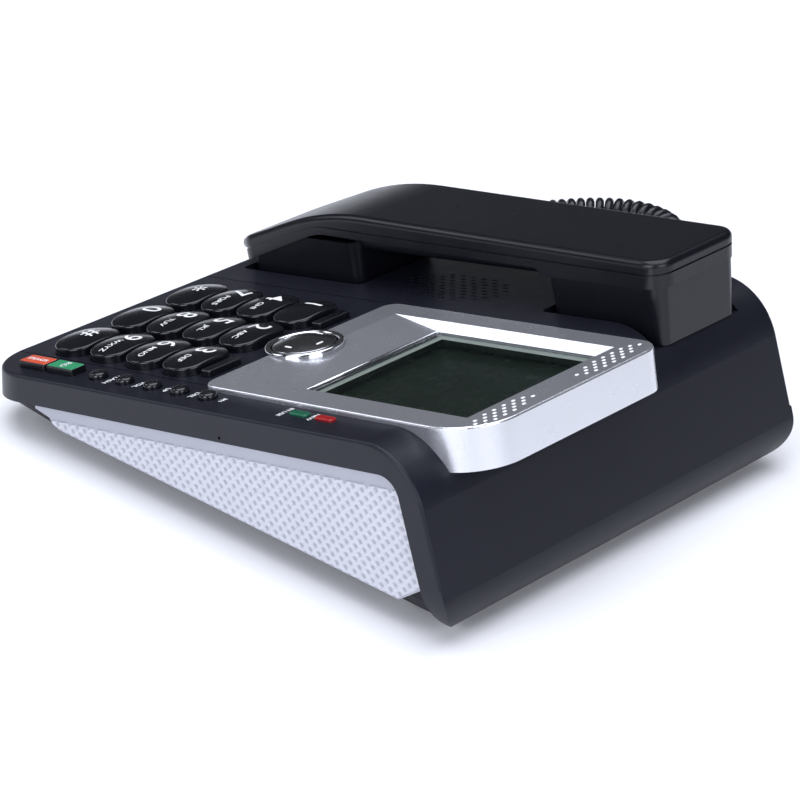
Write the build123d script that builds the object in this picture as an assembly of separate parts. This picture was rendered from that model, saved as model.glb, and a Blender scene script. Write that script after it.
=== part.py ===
from build123d import *
import os
from math import cos, pi, radians, sin, tan

# Corded desk telephone with a large tilted display, big keys and a handset on a curly cord.
# Row frame: +X to the user's right, +Y to the rear, +Z up, millimetres, feet on z = 0.
# Deck frame: x as in the row frame, u up the sloping top from its front edge, h out of it.

# ---------------------------------------------------------------- driving dimensions
WIDTH = 188.0
LENGTH = 226.2
SLOPE = 12.5                 # top surface above the table, degrees
FRONT_HEIGHT = 20.6          # top surface at its front edge
FOOT_HEIGHT = 2.0            # air gap under the case
WALL = 2.4
REAR_LEAN = 20.2             # rear face from the vertical, degrees
REAR_TOP_RADIUS = 23.5
REAR_FOOT_RADIUS = 12.0
FRONT_CORNER_RADIUS = 22.0
REAR_CORNER_RADIUS = 18.0    # bottom corners, seen from the rear
REAR_ROUND_START = 60.0      # the rounding of those corners starts at this y
RIBBON = 10.7                # height of the side band under the deck edge
REAR_BAND = 9.3              # width of the side band down the rear, square to the rear face
SEAM_HEIGHT = 22.0           # joint across the side band, between cover and rear foot
REAR_FOOT_WIDTH = 10.0       # the lower case's rear feet, under the ends of the band
LOWER_CASE_WIDTH = 171.0     # the lower case stands in behind the side panels
PANEL_FACE = 91.6            # outer face of a side panel, from the middle
PANEL_THICKNESS = 2.0
PANEL_BOTTOM = 10.0

KEY_COLUMNS = (4.8, 32.3, 59.8)
KEY_ROWS = (22.6, 41.7, 60.8, 79.9)
KEY_WIDTH = 24.8
KEY_DEPTH = 17.2
KEY_HEIGHT = 4.6
FIT_GAP = 0.3                # all round a moving key

BEZEL_X = (-18.0, 78.1)
BEZEL_U = (101.3, 227.1)
BEZEL_TOP = 1.9
CHIN_BOTTOM = -13.3
WINDOW_X = (-4.6, 66.9)
WINDOW_U = (136.5, 213.8)
WINDOW_TOP = -1.3

PAD_CENTRE = (32.3, 106.6)
PAD_RADIUS = 11.4
RING_RADIUS = 14.2

HANDSET_X = (-80.7, -34.3)
HANDSET_U = (4.7, 215.0)
HANDSET_WALL = 2.0
CUP_BOTTOM = -8.0            # lowest point of the ear cup, in the deck frame
MOUTH_BOTTOM = -5.0
WELL_GAP = 0.3               # under each cup at rest

WIRE = 3.6                   # handset cord, straight stretches
CURL = 12.5                  # handset cord, outside of its curls

HALF = WIDTH / 2
FRONT_Y = -LENGTH / 2

# case
FLAT_FRONT_Y = FRONT_Y + 36.0    # the underside rises from here to the front skirt
BAND_INNER_RADIUS = 8.0          # inner corner of the side band, at the rear
DECK_EDGE_RADIUS = 1.2
EAR_WELL = ((-80.4, -34.0), (158.6, 213.4))
MOUTH_WELL = ((-80.4, -34.0), (7.0, 70.0))
WELL_WALL = 1.8
WELL_CORNER = 2.5
TUB_CORNER = 4.0
EAR_FLOOR = CUP_BOTTOM - WELL_GAP
MOUTH_FLOOR = MOUTH_BOTTOM - WELL_GAP
CLEAR = 20.0                     # how far a cut runs past the deck
BOSSES = ((45.0, 7.5), (-25.0, 16.0), (-25.0, 200.0), (76.6, 200.0))
BOSS_RADIUS = 3.0
SCREW_RADIUS = 1.3
SCREW_HEAD = (2.7, 1.4)
SCREW_LENGTH = 9.0
SCREW_SINK = 1.0                 # seat of a screw head above the underside
THREAD_GAP = 0.05
HOOK = (-57.5, 178.0)
HOOK_RADIUS = 2.5

# keys
KEY_CORNER = 7.8
KEY_CROWN = 46.0
KEY_SKIRT = -3.2                 # underside of a key's body, in the deck frame
KEY_EDGE = 0.9
TAB = 0.9                        # reach of a retaining tab past the key
TAB_THICKNESS = 1.0
TAB_HALF = 3.0
OVERLAP = 0.1                    # how far joined bodies run into each other
TAB_H = (KEY_SKIRT - TAB_THICKNESS, KEY_SKIRT + OVERLAP)
KEY_BLANK = 9.0                  # height of a key before its crown is cut
BAR_SIZE = (15.8, 4.6)
BAR_U = 92.6
BAR_TOP = 2.4
BAR_EDGE = 0.6
BAR_CORNER = 0.8
BAR_FOOT_HALF = 1.5
LINE_X = 83.4                    # right-hand column of small buttons
SOFT_SIZE = (7.2, 13.8)
SOFT_TOP = 2.5
SOFT_EDGE = 0.7
SOFT_ROWS = (("speaker_button", 22.6), ("redial_button", 37.4))
BUTTON_RADIUS = 3.2
BUTTON_FIRST = 54.6
BUTTON_PITCH = 13.95
BUTTON_TOP = 2.2
BUTTON_EDGE = 1.4
BUTTON_COUNT = 5

# lamps
LAMP_SIZE = (3.4, 8.0)
LAMP_X = 83.2
LAMP_ROWS = (("in_use_lamp", 154.2), ("message_lamp", 166.0))
LAMP_TOP = 0.9
LAMP_CORNER = 1.2
LAMP_EDGE = 0.5
LAMP_FLANGE = (0.9, 1.2)         # reach and thickness

# grooves and loudspeaker slots
GROOVE = 0.5
GROOVES = ((-20.8, 228.0), (74.2, 100.0))    # place across the deck, and rear end
SPEAKER = (-45.0, 107.0)
SLOT = (1.1, 2.8)
SLOT_CORNER = 0.5
GRILLE_STEP = (2.9, 5.2)
GRILLE_HALF = (14.5, 25.0)

# display
BEZEL_WALL = 2.2
CHIN_RADIUS = 20.0
BEZEL_RADIUS = 6.0
BEZEL_REAR_RADIUS = 9.0
BEZEL_EDGE = 0.8
DIP_FRONT = 113.0
STEP_RUN = 3.1
LEDGE = WINDOW_TOP + 0.2
RAIL = 5.2
RAIL_GAP = 0.2
WINDOW_CORNER = 2.0
WINDOW_FIT = 0.1
RAIL_DEPTH = 6.0
WINDOW_THICKNESS = 1.0
LCD_THICKNESS = 3.6

# navigation pad
RING_TOP = 3.2
RING_EDGE = 0.9
RING_GAP = 0.5
PAD_EDGE = 0.6
PAD_BODY_H = (1.2, 6.0)
STEM_SPLIT = (-2.0, -1.6)        # free space between the fixed and the tilting stem
STEM_FOOT = -6.5
PAD_CROWN = 34.0
PAD_TOP = 4.8
PAD_STEM_RADIUS = 3.0
PAD_HOLE_RADIUS = 8.0
BAND_HOLE = (10.8, 39.1)
BAND_HOLE_RADIUS = 0.6

# lower case
TUCK = 5.0                       # the tray's sides slope in towards the floor
FOOT_RADIUS = 6.0
FOOT_EDGE = 0.8
FOOT_X = (-66.0, 66.0)
FOOT_Y = (-62.0, 84.0)
SCREW_HEAD_GAP = 0.3
FOOT_RECESS = 1.0

# side panels and sockets
PANEL_GAP = 0.3
PANEL_TOP = RIBBON + PANEL_GAP
SOCKET_Z = 18.5
HANDSET_SOCKET_Y = -10.0
LINE_SOCKET_Y = 46.0
SOCKET_DEPTH = 13.0
SOCKET_WALL = 1.8
PLUG = (7.6, 6.0)                # handset plug, width and height
LINE_PLUG = (9.6, 6.6)
PLUG_GAP = 0.15

# inside the base
MAT_H = (-8.0, -7.0)
MAT_X = (-12.0, 88.0)
BOARD_H = (-9.6, -8.0)
BOARD_X = (-16.0, 89.0)
BOARD_U = (13.0, 121.0)
BOARD_CORNER = 2.0
SPEAKER_RADIUS = 21.0
SPEAKER_FRAME_H = (-6.0, -WALL)
MAGNET_RADIUS = 11.0
MAGNET_H = (-14.0, -6.0)
HOOK_LENGTH = 7.0                # plunger below the well's floor
HOOK_COLLAR = (0.9, 1.5)         # thickness, and reach past the plunger
SWITCH_DROP = 8.2                # top of the switch below the well's floor
HOOK_BOX = (12.0, 8.0, 6.0)

# handset
SEAM = ((HANDSET_U[0], 6.7), (50.0, 21.4), (HANDSET_U[1], 18.7))
CROWN_LINE = ((HANDSET_U[0] + 0.9, 11.2), (54.0, 27.0), (HANDSET_U[1] - 0.5, 23.0))
BAND_LINE = ((HANDSET_U[0] + 1.5, 1.9), (50.0, 17.9), (158.0, 15.8), (161.0, 13.2),
             (HANDSET_U[1] - 1.5, 13.2))
BEND = 28.0
TOP_BEND = 120.0
HANDSET_CORNER = 8.0
HANDSET_EDGE = 2.4
SEAM_GROOVE = (0.5, 0.8)         # depth, and height below the joint between the shells
CUP_TAPER = 4
CUP_TOP = 15.0
CUP_CORNER = 5.0
GRIP_TOP = 17.0
GRIP_CORNER = 3.0
GRIP_EDGE = 2.6
GRIP_SPACE_TOP = 18.5
EAR_CUP = ((-79.8, -36.0), (160.4, 212.3))
MOUTH_CUP = ((-79.8, -36.0), (9.6, 68.0))
GRIP_X = (-76.5, -39.8)
GRIP_U = (60.0, 168.0)
GRIP_BOTTOM = 11.5
HANDSET_SCREWS_U = (74.0, 150.0)
POST_RADIUS = 2.8
POST_START = 4.0                 # above the grip's underside
BORE_TOP = 21.0
SEAT_RADIUS = 4.4
SEAT_H = (GRIP_BOTTOM + 1.0, GRIP_BOTTOM + 3.8)
SEAT_TOP = GRIP_BOTTOM + 2.4
HANDSET_SCREW_LENGTH = 6.0
PLUG_H = 3.1
PLUG_U = (8.0, 25.5)
RECEIVER_U = 186.0
MICROPHONE_U = 40.0
SOUND_HOLE = 1.3
SOUND_RING = 6.0
SOUND_HOLES = 6
VOICE_HOLE = 0.8
VOICE_PITCH = 4.0
RECEIVER_SIZE = ((17.0, 3.0), (9.0, 5.0))    # radius and height of its rim and of its magnet
MICROPHONE_SIZE = (5.0, 5.0)
WEIGHT_HALF = 8.0
WEIGHT_U = (86.0, 138.0)
WEIGHT_HEIGHT = 4.0
HANDSET_SOCKET_HALF = 6.0
HANDSET_SOCKET_U = (14.0, 27.5)
HANDSET_SOCKET_RISE = 5.0        # top of the socket above the plug's axis

# handset cord
BOOT_RADIUS = 2.5
BOOT_TIP = WIRE / 2 + 0.3
BASE_BOOT_LENGTH = 8.0
BOOT_OUTSIDE = 6.5               # free end of the base plug's boot, outside the case
LEAD_STRAIGHT = 9.0              # how far the lead runs straight out of the boot
BOOT_END = -2.5                  # free end of the plug's boot, ahead of the deck's front edge
CURL_Z = CURL / 2 + 0.25

slope = radians(SLOPE)
lean = radians(REAR_LEAN)
DECK = Plane((0, FRONT_Y, FRONT_HEIGHT), x_dir=(1, 0, 0), z_dir=(0, -sin(slope), cos(slope))).location

nodes = {}


# ---------------------------------------------------------------- helpers
def block(x, y, z):
    """Box between two limits on each axis."""
    size = (x[1] - x[0], y[1] - y[0], z[1] - z[0])
    return Pos((x[0] + x[1]) / 2, (y[0] + y[1]) / 2, (z[0] + z[1]) / 2) * Box(*size)


def slab(x, u, h, radius, taper=0):
    """Plate with rounded corners between two limits on each axis."""
    outline = Pos((x[0] + x[1]) / 2, (u[0] + u[1]) / 2, h[1])
    outline *= RectangleRounded(x[1] - x[0], u[1] - u[0], radius)
    return extrude(outline, amount=h[0] - h[1], taper=taper)


def disc(x, u, h, radius):
    """Upright round bar between two heights."""
    return Pos(x, u, (h[0] + h[1]) / 2) * Cylinder(radius, h[1] - h[0])


def side_profile(points, radii):
    """Closed outline with given corner radii, read as (first, second) coordinates."""
    face = make_face(Polyline(*points, close=True))
    for corner, radius in radii.items():
        vertex = face.vertices().sort_by_distance(Vector(*points[corner], 0))[0]
        face = fillet(vertex, radius)
    return face


def across(profile, low, high):
    """Outline in (y, z) pulled along x between two limits."""
    return extrude(Pos(low, 0, 0) * (Plane.YZ * profile), amount=high - low, dir=(1, 0, 0))


def grow(limits, amount):
    return (limits[0] - amount, limits[1] + amount)


def deck_z(y):
    return FRONT_HEIGHT + (y - FRONT_Y) * tan(slope)


def deck_point(x, u, h):
    return (DECK * Pos(x, u, h)).position


# ---------------------------------------------------------------- case
rear_centre_y = LENGTH / 2 - REAR_FOOT_RADIUS
rear_centre_z = FOOT_HEIGHT + REAR_FOOT_RADIUS


def rear_y(z, inset=0.0):
    """Rear face line at a height, moved in by an inset square to the face."""
    return (rear_centre_y + (REAR_FOOT_RADIUS - inset) / cos(lean)
            - (z - rear_centre_z) * tan(lean))


def rear_top(drop, inset):
    """Where the deck line, lowered by a drop, meets the rear face line, moved in by an inset."""
    deck_start = FRONT_HEIGHT - drop - FRONT_Y * tan(slope)
    y = (rear_y(0, inset) - deck_start * tan(lean)) / (1 + tan(slope) * tan(lean))
    return (y, deck_z(y) - drop)


def case_outline(inset):
    """Side view of the case, moved in by an inset."""
    drop = inset / cos(slope)
    floor = FOOT_HEIGHT + inset
    points = [
        (FRONT_Y + inset, FRONT_HEIGHT - RIBBON + inset / 2),
        (FRONT_Y + inset, deck_z(FRONT_Y + inset) - drop),
        rear_top(drop, inset),
        (rear_y(floor, inset), floor),
        (FLAT_FRONT_Y, floor),
    ]
    return side_profile(points, {2: REAR_TOP_RADIUS - inset, 3: REAR_FOOT_RADIUS - inset})


def case_form(inset):
    """The whole case as one solid with its plan and rear-view corners rounded."""
    form = across(case_outline(inset), -HALF + inset, HALF - inset)
    form = fillet(form.edges().filter_by(Axis.Z), FRONT_CORNER_RADIUS - inset)
    tall = 4 * HALF
    rear_view = Pos(0, 0, tall / 2 + FOOT_HEIGHT + inset) * Rot(90, 0, 0)
    rear_view *= RectangleRounded(WIDTH - 2 * inset, tall, REAR_CORNER_RADIUS - inset)
    outside = block((-WIDTH, WIDTH), (REAR_ROUND_START, LENGTH), (-LENGTH, LENGTH))
    outside -= extrude(rear_view, amount=LENGTH, both=True)
    return form - outside


case_solid = case_form(0)
case_hollow = case_form(WALL)

# What lies below the joint: everything but the deck, its side bands and the rear face,
# with a foot at each end of the rear face.
below_joint = side_profile(
    [
        (2 * FRONT_Y, deck_z(2 * FRONT_Y) - RIBBON),
        rear_top(RIBBON, REAR_BAND),
        (rear_y(-LENGTH, REAR_BAND), -LENGTH),
        (2 * FRONT_Y, -LENGTH),
    ],
    {1: BAND_INNER_RADIUS},
)
foot_profile = make_face(Polyline((rear_y(SEAM_HEIGHT, REAR_BAND), SEAM_HEIGHT), (LENGTH, SEAM_HEIGHT),
                                  (LENGTH, 0), (rear_y(0, REAR_BAND), 0), close=True))
rear_feet = [across(foot_profile, HALF - REAR_FOOT_WIDTH, HALF),
             across(foot_profile, -HALF, REAR_FOOT_WIDTH - HALF)]
under_cover = across(below_joint, -WIDTH, WIDTH) + rear_feet
cover_solid = case_solid - under_cover
deck_edges = cover_solid.edges().filter_by(
    lambda e: e.length > 100 and abs(e.center().X) > HALF - 1 and e.center().Z > deck_z(e.center().Y) - 3)
cover_solid = fillet(deck_edges, DECK_EDGE_RADIUS)


def well(limits, floor):
    """Pocket for a handset cup: the tub under the deck, and the space inside it."""
    x, u = limits
    tub = slab(grow(x, WELL_WALL), grow(u, WELL_WALL), (floor - WELL_WALL, -WALL / 2), TUB_CORNER)
    return DECK * tub, DECK * slab(x, u, (floor, CLEAR), WELL_CORNER)


ear_tub, ear_space = well(EAR_WELL, EAR_FLOOR)
mouth_tub, mouth_space = well(MOUTH_WELL, MOUTH_FLOOR)

boss_columns = [Pos(x, deck_point(x, u, 0).Y, 0) * Cylinder(BOSS_RADIUS, 4 * HALF) for x, u in BOSSES]
cover_posts = (Part() + boss_columns) & case_hollow


def boss_seat(x, u):
    """Foot of a screw boss: where it stands in plan and the height of its screw's seat."""
    y = deck_point(x, u, 0).Y
    rise = (FRONT_HEIGHT - RIBBON - FOOT_HEIGHT) / (FLAT_FRONT_Y - FRONT_Y)
    return y, FOOT_HEIGHT + max(0, FLAT_FRONT_Y - y) * rise + SCREW_SINK


cover_cuts = [ear_space, mouth_space]
cover_cuts.append(DECK * disc(*HOOK, (EAR_FLOOR - 3, EAR_FLOOR + 1), HOOK_RADIUS + FIT_GAP))
for x, u in BOSSES:
    y, seat = boss_seat(x, u)
    cover_cuts.append(disc(x, y, (0, seat + SCREW_LENGTH + 1), SCREW_RADIUS + THREAD_GAP))


# ---------------------------------------------------------------- keys


def dome_key(x, u):
    """Key with a crowned top and a retaining tab at each end under the deck."""
    outline = Pos(x, u, KEY_SKIRT) * RectangleRounded(KEY_WIDTH, KEY_DEPTH, KEY_CORNER)
    body = extrude(outline, amount=KEY_BLANK)
    body &= Pos(x, u, KEY_HEIGHT - KEY_CROWN) * Sphere(KEY_CROWN)
    body = fillet(body.edges().filter_by(lambda e: e.center().Z > 1), KEY_EDGE)
    tab_x = grow((x - KEY_WIDTH / 2, x + KEY_WIDTH / 2), TAB)
    tabs = block(tab_x, (u - TAB_HALF, u + TAB_HALF), TAB_H)
    return DECK * (body + tabs)


def key_hole(x, u, width, depth, corner):
    outline = RectangleRounded(width + 2 * FIT_GAP, depth + 2 * FIT_GAP, corner + FIT_GAP)
    return DECK * extrude(Pos(x, u, -WALL - 1) * outline, amount=WALL + 4)


KEY_NAMES = (("star", "0", "hash"), ("7", "8", "9"), ("4", "5", "6"), ("1", "2", "3"))
for row_u, names in zip(KEY_ROWS, KEY_NAMES):
    for column_x, name in zip(KEY_COLUMNS, names):
        nodes["key_" + name] = dome_key(column_x, row_u)
        cover_cuts.append(key_hole(column_x, row_u, KEY_WIDTH, KEY_DEPTH, KEY_CORNER))


def bar_key(x, u, size, top, edge):
    """Small rectangular key with softened top edges and a wider foot under the deck."""
    x_limits = (x - size[0] / 2, x + size[0] / 2)
    u_limits = (u - size[1] / 2, u + size[1] / 2)
    body = slab(x_limits, u_limits, (KEY_SKIRT, top), BAR_CORNER)
    body = fillet(body.faces().sort_by(Axis.Z)[-1].edges(), edge)
    foot = block(grow(x_limits, TAB), (u - BAR_FOOT_HALF, u + BAR_FOOT_HALF), TAB_H)
    return DECK * (body + foot)


for name, column_x in (("bar_key_left", KEY_COLUMNS[0]), ("bar_key_right", KEY_COLUMNS[2])):
    nodes[name] = bar_key(column_x, BAR_U, BAR_SIZE, BAR_TOP, BAR_EDGE)
    cover_cuts.append(key_hole(column_x, BAR_U, *BAR_SIZE, BAR_CORNER))

for name, u in SOFT_ROWS:
    nodes[name] = bar_key(LINE_X, u, SOFT_SIZE, SOFT_TOP, SOFT_EDGE)
    cover_cuts.append(key_hole(LINE_X, u, *SOFT_SIZE, BAR_CORNER))


def round_button(x, u):
    body = disc(x, u, (KEY_SKIRT, BUTTON_TOP), BUTTON_RADIUS)
    body = fillet(body.edges().filter_by(lambda e: e.center().Z > 1), BUTTON_EDGE)
    return DECK * (body + disc(x, u, TAB_H, BUTTON_RADIUS + TAB))


for index in range(BUTTON_COUNT):
    button_u = BUTTON_FIRST + index * BUTTON_PITCH
    nodes[f"function_button_{index + 1}"] = round_button(LINE_X, button_u)
    cover_cuts.append(DECK * disc(LINE_X, button_u, (-WALL - 1, 2), BUTTON_RADIUS + FIT_GAP))

# ---------------------------------------------------------------- lamps
for name, u in LAMP_ROWS:
    x_limits = (LAMP_X - LAMP_SIZE[0] / 2, LAMP_X + LAMP_SIZE[0] / 2)
    u_limits = (u - LAMP_SIZE[1] / 2, u + LAMP_SIZE[1] / 2)
    lens = slab(x_limits, u_limits, (-WALL, LAMP_TOP), LAMP_CORNER)
    lens = fillet(lens.faces().sort_by(Axis.Z)[-1].edges(), LAMP_EDGE)
    flange_h = (-WALL - LAMP_FLANGE[1], -WALL)
    foot = slab(grow(x_limits, LAMP_FLANGE[0]), grow(u_limits, LAMP_FLANGE[0]), flange_h, LAMP_CORNER)
    nodes[name] = DECK * (lens + foot)
    cover_cuts.append(DECK * slab(x_limits, u_limits, (-WALL - 1, 3), LAMP_CORNER))

# ---------------------------------------------------------------- grooves and loudspeaker slots
for x, end in GROOVES:
    cover_cuts.append(DECK * block((x - GROOVE / 2, x + GROOVE / 2), (-5, end), (-GROOVE, 3)))

for row in range(-5, 6):
    for column in range(-5, 6):
        x = row * GRILLE_STEP[0]
        u = (column + (row % 2) / 2) * GRILLE_STEP[1]
        if (x / GRILLE_HALF[0]) ** 2 + (u / GRILLE_HALF[1]) ** 2 < 1:
            place = Pos(SPEAKER[0] + x, SPEAKER[1] + u, -WALL - 1)
            cover_cuts.append(DECK * extrude(place * RectangleRounded(*SLOT, SLOT_CORNER), amount=WALL + 2))

# ---------------------------------------------------------------- display
bezel_middle = (sum(BEZEL_X) / 2, sum(BEZEL_U) / 2)
bezel_plan = Pos(*bezel_middle) * Rectangle(BEZEL_X[1] - BEZEL_X[0], BEZEL_U[1] - BEZEL_U[0])
for corner_x, corner_u, radius in ((BEZEL_X[0], BEZEL_U[0], BEZEL_RADIUS),
                                   (BEZEL_X[1], BEZEL_U[0], BEZEL_RADIUS),
                                   (BEZEL_X[0], BEZEL_U[1], BEZEL_REAR_RADIUS),
                                   (BEZEL_X[1], BEZEL_U[1], CHIN_RADIUS)):
    corner = bezel_plan.vertices().sort_by_distance(Vector(corner_x, corner_u, 0))[0]
    bezel_plan = fillet(corner, radius)
bezel_block = extrude(Pos(0, 0, BEZEL_TOP) * bezel_plan, amount=CHIN_BOTTOM - BEZEL_TOP)
bezel_block = fillet(bezel_block.faces().sort_by(Axis.Z)[-1].edges(), BEZEL_EDGE)
bezel_hollow = extrude(Pos(0, 0, BEZEL_TOP - BEZEL_WALL) * offset(bezel_plan, -BEZEL_WALL), amount=-2 * CLEAR)

# The frame dips from near its front edge to the window and drops off steeply at the far side.
dip = make_face(Polyline((DIP_FRONT, BEZEL_TOP), (WINDOW_U[0], LEDGE), (WINDOW_U[1], LEDGE),
                         (WINDOW_U[1], CLEAR), (DIP_FRONT, CLEAR), close=True))
dip_solid = across(dip, WINDOW_X[0] - STEP_RUN, WINDOW_X[1])
far_step = Plane.XZ * make_face(Polyline((WINDOW_X[0], LEDGE), (WINDOW_X[0] - STEP_RUN, BEZEL_TOP),
                                         (WINDOW_X[0] - STEP_RUN, -CLEAR), (WINDOW_X[0], -CLEAR), close=True))
dip_solid -= extrude(far_step, amount=300, dir=(0, 1, 0))
rail_x = grow(WINDOW_X, RAIL)
rail_u = (DIP_FRONT - 1, WINDOW_U[1] + BEZEL_WALL)
rails = slab(rail_x, rail_u, (-RAIL_DEPTH, BEZEL_TOP - RAIL_GAP), WINDOW_CORNER)
bezel = (bezel_block - bezel_hollow) + (rails & bezel_block)
bezel -= dip_solid
bezel -= slab(WINDOW_X, WINDOW_U, (-CLEAR, LEDGE + FIT_GAP), WINDOW_CORNER)
bezel -= disc(*PAD_CENTRE, (-CLEAR, CLEAR), RING_RADIUS + 0.1)
rail_space_h = (-RAIL_DEPTH - RAIL_GAP, 1)
rail_space = DECK * slab(grow(rail_x, RAIL_GAP), grow(rail_u, RAIL_GAP), rail_space_h, WINDOW_CORNER)
nodes["display_bezel"] = DECK * bezel - (case_solid - rail_space)
cover_cuts.append(rail_space)

lcd_x = grow(WINDOW_X, -WINDOW_FIT)
lcd_u = grow(WINDOW_U, -WINDOW_FIT)
lcd_top = WINDOW_TOP - WINDOW_THICKNESS
nodes["display_window"] = DECK * slab(lcd_x, lcd_u, (lcd_top, WINDOW_TOP), WINDOW_CORNER)
nodes["lcd_module"] = DECK * slab(lcd_x, lcd_u, (lcd_top - LCD_THICKNESS, lcd_top), WINDOW_CORNER)

# ---------------------------------------------------------------- navigation pad
ring = disc(*PAD_CENTRE, (0, RING_TOP), RING_RADIUS) - disc(*PAD_CENTRE, (-1, 9), PAD_RADIUS + RING_GAP)
nodes["navigation_ring"] = DECK * fillet(ring.edges().filter_by(lambda e: e.center().Z > 3), RING_EDGE)
pad = disc(*PAD_CENTRE, PAD_BODY_H, PAD_RADIUS) & (Pos(*PAD_CENTRE, PAD_TOP - PAD_CROWN) * Sphere(PAD_CROWN))
pad = fillet(pad.edges().filter_by(lambda e: e.center().Z > 2.5), PAD_EDGE)
pad_stem = disc(*PAD_CENTRE, (STEM_SPLIT[1], PAD_BODY_H[0] + OVERLAP), PAD_STEM_RADIUS)
nodes["navigation_pad"] = DECK * (pad + pad_stem)
nodes["navigation_stem"] = DECK * disc(*PAD_CENTRE, (STEM_FOOT, STEM_SPLIT[0]), PAD_STEM_RADIUS)
cover_cuts.append(DECK * disc(*PAD_CENTRE, (-CLEAR, CLEAR), PAD_HOLE_RADIUS))

band_hole = Pos(HALF, *BAND_HOLE) * Rot(0, 90, 0) * Cylinder(BAND_HOLE_RADIUS, 3 * WALL)
cover_cuts.append(band_hole)
cover_shell = cover_solid - (case_hollow - (ear_tub + mouth_tub + cover_posts))
nodes["top_cover"] = cover_shell - cover_cuts

# ---------------------------------------------------------------- lower case
half_lower = LOWER_CASE_WIDTH / 2
tray_view = make_face(Polyline((-half_lower + TUCK, FOOT_HEIGHT), (half_lower - TUCK, FOOT_HEIGHT),
                               (half_lower, PANEL_BOTTOM - 1), (half_lower, WIDTH),
                               (-half_lower, WIDTH), (-half_lower, PANEL_BOTTOM - 1), close=True))
tray_form = extrude(Plane.XZ * tray_view, amount=LENGTH, both=True)
tray_inner = extrude(Plane.XZ * offset(tray_view, -WALL), amount=LENGTH, both=True)
lower_solid = case_solid & (under_cover & (tray_form + rear_feet))
lower_case = lower_solid - (case_hollow & tray_inner)

FEET = [(x, y) for x in FOOT_X for y in FOOT_Y]
foot_pads = [disc(x, y, (0, FOOT_HEIGHT + FOOT_RECESS), FOOT_RADIUS) for x, y in FEET]
nodes["rubber_feet"] = Compound(label="rubber_feet", children=[fillet(
    pad.edges().filter_by(lambda e: e.center().Z < 0.1), FOOT_EDGE).solid() for pad in foot_pads])

lower_cuts = list(foot_pads)
screws = []
for x, u in BOSSES:
    y, seat = boss_seat(x, u)
    lower_cuts.append(disc(x, y, (-5, seat), SCREW_HEAD[0] + SCREW_HEAD_GAP))
    lower_cuts.append(disc(x, y, (0, seat + SCREW_LENGTH), SCREW_RADIUS + THREAD_GAP))
    screw = disc(x, y, (seat - SCREW_HEAD[1], seat), SCREW_HEAD[0])
    screw += disc(x, y, (seat, seat + SCREW_LENGTH), SCREW_RADIUS)
    screws.append(screw.solid())
nodes["case_screws"] = Compound(label="case_screws", children=screws)

# ---------------------------------------------------------------- side panels and sockets
panel_start = FRONT_Y + 28.8
panel_rear = rear_top(PANEL_TOP, REAR_BAND + PANEL_GAP)
panel_outline = side_profile(
    [
        (panel_start, deck_z(panel_start) - PANEL_TOP),
        panel_rear,
        (rear_y(18.4, REAR_BAND + PANEL_GAP), 18.4),
        (91.2, PANEL_BOTTOM),
        (-71.7, PANEL_BOTTOM),
        (-76.8, PANEL_BOTTOM + 3.0),
        (panel_start, PANEL_BOTTOM + 4.0),
    ],
    {1: 7.7, 2: 2.0, 3: 2.0},
)
panel_inner_x = PANEL_FACE - PANEL_THICKNESS
nodes["side_panel_right"] = across(panel_outline, panel_inner_x, PANEL_FACE)


def wall_socket(y, opening):
    """Moulded jack behind the left panel: its housing and the mouth that a plug goes into."""
    width, height = (size + 2 * PLUG_GAP for size in opening)
    y_limits = (y - width / 2, y + width / 2)
    z_limits = (SOCKET_Z - height / 2, SOCKET_Z + height / 2)
    shell = block((-panel_inner_x, -panel_inner_x + SOCKET_DEPTH + SOCKET_WALL),
                  grow(y_limits, SOCKET_WALL), grow(z_limits, SOCKET_WALL))
    mouth = block((-HALF - 5, -panel_inner_x + SOCKET_DEPTH), y_limits, z_limits)
    passage = block((-HALF, -half_lower + 2 * WALL), grow(y_limits, SOCKET_WALL + 0.2),
                    grow(z_limits, SOCKET_WALL + 0.2))
    return shell - mouth, mouth, passage


handset_jack, handset_mouth, handset_passage = wall_socket(HANDSET_SOCKET_Y, PLUG)
line_jack, line_mouth, line_passage = wall_socket(LINE_SOCKET_Y, LINE_PLUG)
nodes["handset_jack"] = handset_jack
nodes["line_jack"] = line_jack
nodes["side_panel_left"] = across(panel_outline, -PANEL_FACE, -panel_inner_x) - handset_mouth - line_mouth
lower_cuts += [handset_passage, line_passage]
nodes["lower_case"] = lower_case - lower_cuts

# ---------------------------------------------------------------- inside the base
nodes["keypad_mat"] = DECK * slab(MAT_X, BOARD_U, MAT_H, BOARD_CORNER)
nodes["main_board"] = DECK * slab(BOARD_X, BOARD_U, BOARD_H, BOARD_CORNER)
speaker = disc(*SPEAKER, SPEAKER_FRAME_H, SPEAKER_RADIUS) + disc(*SPEAKER, MAGNET_H, MAGNET_RADIUS)
nodes["base_speaker"] = DECK * speaker

hook_bottom = EAR_FLOOR - HOOK_LENGTH
hook = disc(*HOOK, (hook_bottom, EAR_FLOOR), HOOK_RADIUS)
hook += disc(*HOOK, (hook_bottom - HOOK_COLLAR[0], hook_bottom), HOOK_RADIUS + HOOK_COLLAR[1])
nodes["hook_plunger"] = DECK * hook
switch_top = EAR_FLOOR - SWITCH_DROP
nodes["hook_switch"] = DECK * Pos(*HOOK, switch_top - HOOK_BOX[2] / 2) * Box(*HOOK_BOX)

# ---------------------------------------------------------------- handset
handset_middle = sum(HANDSET_X) / 2

handset_half = HANDSET_X[1] - handset_middle
handset_side = side_profile([*CROWN_LINE, *BAND_LINE[::-1]], {1: TOP_BEND, 6: BEND})


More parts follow.
